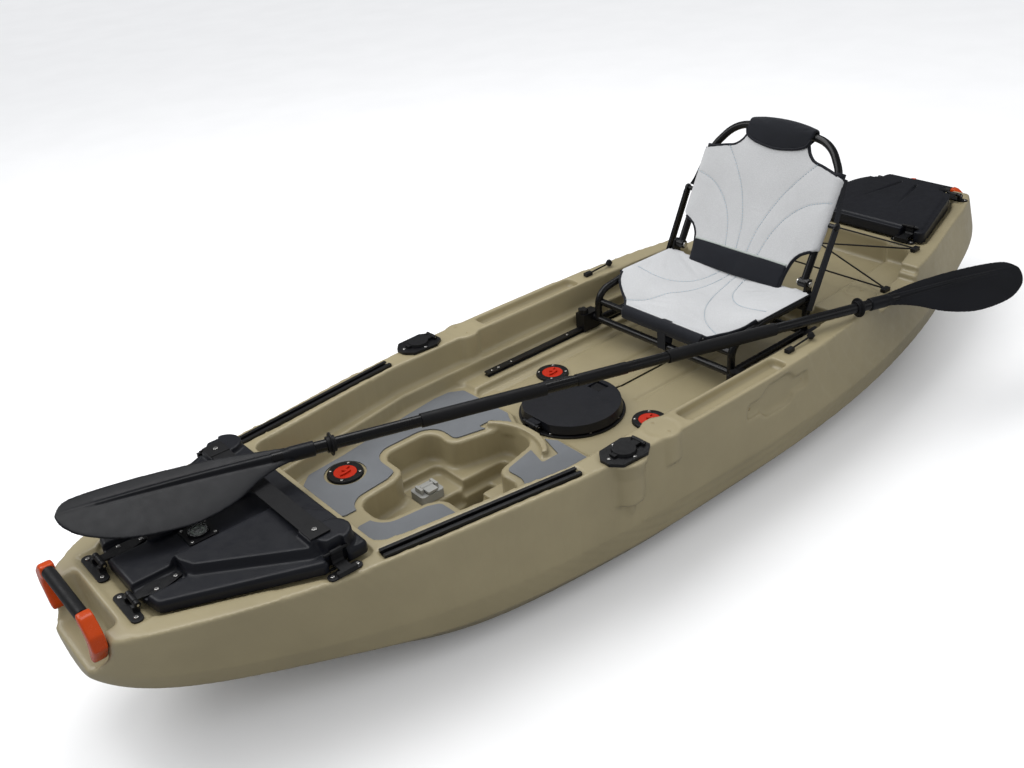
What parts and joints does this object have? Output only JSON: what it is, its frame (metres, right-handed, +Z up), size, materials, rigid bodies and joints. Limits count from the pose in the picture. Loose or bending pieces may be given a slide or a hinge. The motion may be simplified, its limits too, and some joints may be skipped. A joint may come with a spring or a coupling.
{
  "type": "pedal fishing kayak",
  "caption": "Sit-on-top fishing kayak with an open pedal-drive well, folding mesh seat on rails, hinged hatches, gear tracks and a paddle laid across the deck.",
  "frame": {"origin": "on the centre line, halfway along the hull, at the height of the keel's lowest point", "axes": "+X forward to the bow, +Y to port, +Z up"},
  "size_m": [3.121, 1.065, 0.7736],
  "materials": {
    "hull_plastic": "rotomoulded polyethylene, semi-gloss",
    "lid_plastic": "textured black moulding",
    "black_plastic": "satin black moulding",
    "rubber": "soft black rubber",
    "orange_plastic": "glossy orange moulding",
    "red_plastic": "red moulding",
    "black_tube": "gloss black powder coat",
    "anodised": "black anodised",
    "stainless": "stainless steel",
    "brass": "brass",
    "grey_cast": "cast alloy, painted light grey",
    "grey_foam": "closed-cell foam",
    "white_mesh": "padded mesh",
    "black_fabric": "woven black fabric",
    "dial": "compass card",
    "clear": "clear dome"
  },
  "bodies": {
    "root": {"hull": "hull_plastic", "handle_grips": "rubber", "handle_caps": "orange_plastic", "hatch_hinge_plates": "black_plastic", "hatch_hinge_pins": "stainless", "hatch_latch_plates": "black_plastic", "hatch_seals": "rubber", "gear_tracks": "anodised", "track_screws": "brass", "rod_holders": "black_plastic", "rod_cap_pins": "stainless", "scupper_flanges": "black_plastic", "floor_hatch_ring": "black_plastic", "floor_hatch_pin": "stainless", "drive_dock": "grey_cast", "deck_pads": "grey_foam", "seat_rails": "anodised", "cord_cleats": "black_plastic", "bungee_cords": "rubber", "keeper_cords": "rubber", "brass_inserts": "brass", "deck_screws": "stainless"},
    "bow_lid": {"bow_hatch_lid": "lid_plastic", "bow_hinge_arms": "black_plastic", "bow_lid_strap": "rubber", "bow_lid_screws": "stainless", "compass_base": "black_plastic", "compass_dome": "clear"},
    "compass": {"compass_card": "dial"},
    "bow_latch_p": {"bow_latch_port": "rubber"},
    "bow_latch_s": {"bow_latch_starboard": "rubber"},
    "stern_lid": {"stern_hatch_lid": "lid_plastic", "stern_hinge_arms": "black_plastic", "stern_lid_screws": "stainless"},
    "stern_latch_p": {"stern_latch_port": "rubber"},
    "stern_latch_s": {"stern_latch_starboard": "rubber"},
    "rod_cap_p": {"rod_cap_port": "rubber"},
    "rod_cap_s": {"rod_cap_starboard": "rubber"},
    "plug_front": {"scupper_plug_front": "red_plastic"},
    "plug_port": {"scupper_plug_port": "red_plastic"},
    "plug_starboard": {"scupper_plug_starboard": "red_plastic"},
    "floor_hatch": {"floor_hatch_lid": "lid_plastic"},
    "floor_latch": {"floor_hatch_latch": "black_plastic"},
    "dock_lever": {"drive_dock_lever": "grey_cast"},
    "seat": {"seat_clamps": "black_plastic", "seat_frame": "black_tube", "seat_bolts": "stainless", "seat_sling": "white_mesh"},
    "knob_port": {"seat_knob_port": "black_plastic"},
    "knob_starboard": {"seat_knob_starboard": "black_plastic"},
    "seat_back": {"seat_back_frame": "black_tube", "seat_back_panel": "white_mesh", "lumbar_band": "black_fabric", "headrest_patch": "black_fabric"},
    "struts": {"seat_struts": "black_tube"},
    "paddle": {"paddle_shaft": "black_tube", "paddle_ferrule": "black_plastic", "paddle_grips": "rubber", "drip_rings": "rubber", "paddle_blades": "black_plastic"}
  },
  "joints": [
    {"name": "bow_lid_hinge", "type": "hinge", "parent": "root", "child": "bow_lid", "pos_m": [1.437, 0, 0.364], "axis": [0, 1, 0], "range_deg": [0, 95]},
    {"name": "compass_turn", "type": "hinge", "parent": "bow_lid", "child": "compass", "pos_m": [1.252, 0, 0.382], "axis": [0, 0, 1], "continuous": true},
    {"name": "bow_latch_port_swing", "type": "hinge", "parent": "bow_lid", "child": "bow_latch_p", "pos_m": [1.085, 0.276, 0.388], "axis": [1, 0, 0], "range_deg": [0, 130]},
    {"name": "bow_latch_starboard_swing", "type": "hinge", "parent": "bow_lid", "child": "bow_latch_s", "pos_m": [1.085, -0.276, 0.388], "axis": [-1, 0, 0], "range_deg": [0, 130]},
    {"name": "stern_lid_hinge", "type": "hinge", "parent": "root", "child": "stern_lid", "pos_m": [-1.452, 0, 0.362], "axis": [0, -1, 0], "range_deg": [0, 95]},
    {"name": "stern_latch_port_swing", "type": "hinge", "parent": "stern_lid", "child": "stern_latch_p", "pos_m": [-1.083, 0.197, 0.378], "axis": [0, -1, 0], "range_deg": [0, 130]},
    {"name": "stern_latch_starboard_swing", "type": "hinge", "parent": "stern_lid", "child": "stern_latch_s", "pos_m": [-1.083, -0.197, 0.378], "axis": [0, -1, 0], "range_deg": [0, 130]},
    {"name": "rod_cap_port_flip", "type": "hinge", "parent": "root", "child": "rod_cap_p", "pos_m": [0.349, 0.4, 0.354], "axis": [0, -1, 0], "range_deg": [0, 150]},
    {"name": "rod_cap_starboard_flip", "type": "hinge", "parent": "root", "child": "rod_cap_s", "pos_m": [0.349, -0.4, 0.354], "axis": [0, -1, 0], "range_deg": [0, 150]},
    {"name": "plug_front_turn", "type": "hinge", "parent": "root", "child": "plug_front", "pos_m": [0.8, -0.183, 0.213], "axis": [0, 0, 1], "range_deg": [0, 90]},
    {"name": "plug_port_turn", "type": "hinge", "parent": "root", "child": "plug_port", "pos_m": [0.092, 0.19, 0.2], "axis": [0, 0, 1], "range_deg": [0, 90]},
    {"name": "plug_starboard_turn", "type": "hinge", "parent": "root", "child": "plug_starboard", "pos_m": [0.092, -0.19, 0.2], "axis": [0, 0, 1], "range_deg": [0, 90]},
    {"name": "floor_hatch_hinge", "type": "hinge", "parent": "root", "child": "floor_hatch", "pos_m": [0.338, 0, 0.224], "axis": [0, 1, 0], "range_deg": [0, 80]},
    {"name": "floor_latch_lift", "type": "hinge", "parent": "floor_hatch", "child": "floor_latch", "pos_m": [0.079, 0, 0.228], "axis": [0, -1, 0], "range_deg": [0, 70]},
    {"name": "dock_lever_lift", "type": "hinge", "parent": "root", "child": "dock_lever", "pos_m": [0.634, -0.078, 0.14], "axis": [1, 0, 0], "range_deg": [0, 80]},
    {"name": "seat_slide", "type": "slide", "parent": "root", "child": "seat", "axis": [1, 0, 0], "range_m": [-0.03, 0.04]},
    {"name": "knob_port_turn", "type": "hinge", "parent": "seat", "child": "knob_port", "pos_m": [-0.13, 0.29, 0.28], "axis": [0, 0, 1], "range_deg": [-180, 180]},
    {"name": "knob_starboard_turn", "type": "hinge", "parent": "seat", "child": "knob_starboard", "pos_m": [-0.13, -0.29, 0.28], "axis": [0, 0, 1], "range_deg": [-180, 180]},
    {"name": "back_fold", "type": "hinge", "parent": "seat", "child": "seat_back", "pos_m": [-0.497, 0, 0.402], "axis": [0, 1, 0], "range_deg": [0, 112]},
    {"name": "strut_swing", "type": "hinge", "parent": "seat_back", "child": "struts", "pos_m": [-0.5753, 0, 0.55177], "axis": [0, 1, 0], "range_deg": [-32, 0]},
    {"name": "paddle_lift", "type": "slide", "parent": "root", "child": "paddle", "axis": [0, 0, 1], "range_m": [0, 0.85]}
  ],
  "couplings": [
    {"joint": "strut_swing", "follows": "back_fold", "ratio": -0.267},
    {"joint": "paddle_lift", "follows": "bow_lid_hinge", "m_per_rad": 0.5}
  ]
}
